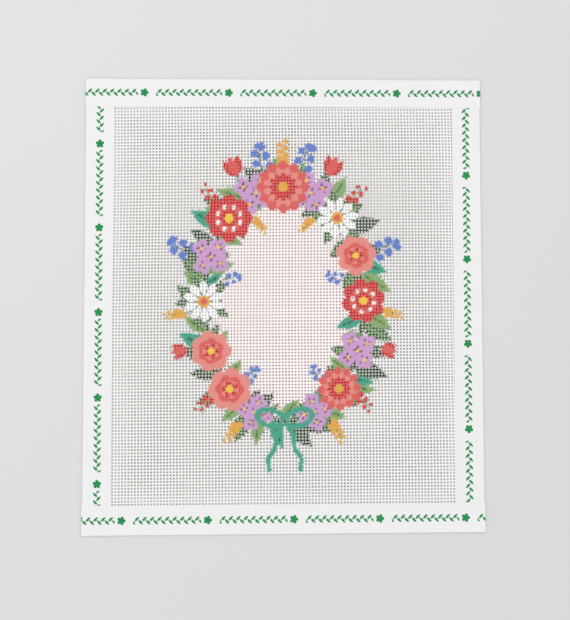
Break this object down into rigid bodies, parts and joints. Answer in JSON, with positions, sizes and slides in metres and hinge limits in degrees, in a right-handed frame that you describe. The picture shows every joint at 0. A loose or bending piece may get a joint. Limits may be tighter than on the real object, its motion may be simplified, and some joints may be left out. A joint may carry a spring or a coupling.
{
  "type": "needlepoint canvas panel",
  "caption": "Flat rectangular panel of open square-woven needlepoint canvas with a painted floral design, its cut edges bound on the face with white tape.",
  "frame": {"origin": "middle of the panel's outline, on the surface that its underside lies on", "axes": "+X to the right and +Y up in the design, seen from the painted face; +Z out of the painted face"},
  "size_m": [0.247, 0.2811, 0.0036],
  "materials": {
    "canvas": "stiff starched mono canvas in off-white, hand painted in matt colours",
    "tape": "smooth satin white binding tape with a green print"
  },
  "bodies": {
    "root": {"canvas": "canvas", "tape_left": "tape", "tape_right": "tape", "tape_top": "tape", "tape_bottom": "tape"}
  },
  "joints": []
}
